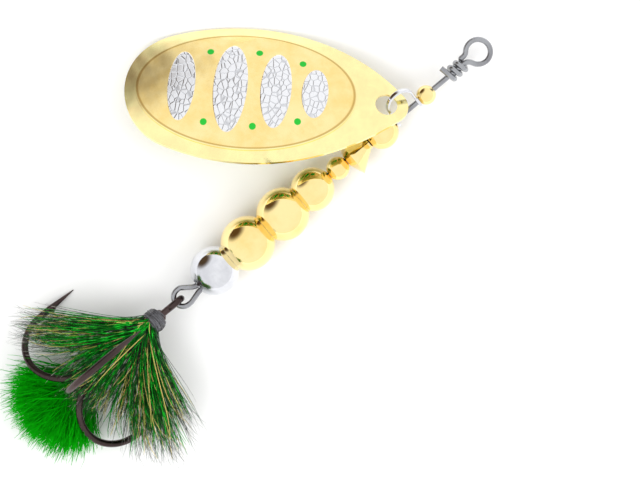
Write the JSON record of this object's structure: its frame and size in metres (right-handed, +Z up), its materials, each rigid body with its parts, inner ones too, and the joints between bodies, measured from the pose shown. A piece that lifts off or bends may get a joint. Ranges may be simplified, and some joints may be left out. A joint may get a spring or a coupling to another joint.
{
  "type": "inline spinner fishing lure",
  "caption": "Inline spinner: wire shaft with a line eye, metal beads, an egg-shaped blade that turns on a clevis, and a dressed treble hook with a yarn tail.",
  "frame": {"origin": "middle of the line eye, on the wire shaft's axis", "axes": "+X along the shaft, out of the line eye towards the fishing line; +Z up from the flat surface the lure lies on; +Y is the side the blade lies on"},
  "size_m": [0.0887, 0.0429, 0.021],
  "materials": {
    "wire": "polished",
    "gold": "polished",
    "silver": "polished",
    "hook": "dark bronze, satin",
    "thread": "waxed",
    "hackle": "barred hair",
    "flash": "metallic film strands",
    "yarn": "fluffy"
  },
  "bodies": {
    "shaft": {"shaft_wire": "wire"},
    "top_bead": {"top_bead": "gold"},
    "clevis": {"clevis": "silver"},
    "blade": {"blade": "gold"},
    "bearing_bead": {"bearing_bead": "gold"},
    "cone": {"cone": "gold"},
    "spacer_bead": {"spacer_bead": "gold"},
    "medium_bead": {"medium_bead": "gold"},
    "front_body_bead": {"front_body_bead": "gold"},
    "rear_body_bead": {"rear_body_bead": "gold"},
    "tail_bead": {"tail_bead": "silver"},
    "treble": {"eyed_hook": "hook", "double_hook": "hook", "hook_braze": "hook", "thread_wrap": "thread", "hackle_skirt": "hackle", "flash_skirt": "flash", "yarn_tail": "yarn"}
  },
  "joints": [
    {"name": "top_bead_slide", "type": "slide", "parent": "shaft", "child": "top_bead", "axis": [1, 0, 0], "range_m": [0, 0.0022]},
    {"name": "clevis_spin", "type": "hinge", "parent": "shaft", "child": "clevis", "pos_m": [0, 0, 0], "axis": [1, 0, 0], "continuous": true},
    {"name": "blade_swing", "type": "hinge", "parent": "clevis", "child": "blade", "pos_m": [-0.01551, 0.0018, 0.00215], "axis": [0, 0.6428, 0.766], "range_deg": [0, 80]},
    {"name": "bearing_bead_spin", "type": "hinge", "parent": "shaft", "child": "bearing_bead", "pos_m": [0, 0, 0], "axis": [1, 0, 0], "continuous": true},
    {"name": "cone_spin", "type": "hinge", "parent": "shaft", "child": "cone", "pos_m": [0, 0, 0], "axis": [1, 0, 0], "continuous": true},
    {"name": "spacer_bead_spin", "type": "hinge", "parent": "shaft", "child": "spacer_bead", "pos_m": [0, 0, 0], "axis": [1, 0, 0], "continuous": true},
    {"name": "medium_bead_spin", "type": "hinge", "parent": "shaft", "child": "medium_bead", "pos_m": [0, 0, 0], "axis": [1, 0, 0], "continuous": true},
    {"name": "front_body_bead_spin", "type": "hinge", "parent": "shaft", "child": "front_body_bead", "pos_m": [0, 0, 0], "axis": [1, 0, 0], "continuous": true},
    {"name": "rear_body_bead_spin", "type": "hinge", "parent": "shaft", "child": "rear_body_bead", "pos_m": [0, 0, 0], "axis": [1, 0, 0], "continuous": true},
    {"name": "tail_bead_spin", "type": "hinge", "parent": "shaft", "child": "tail_bead", "pos_m": [0, 0, 0], "axis": [1, 0, 0], "continuous": true},
    {"name": "treble_swing", "type": "hinge", "parent": "shaft", "child": "treble", "pos_m": [-0.05696, 0, 0], "axis": [0, 1, 0], "range_deg": [-80, 80]}
  ]
}
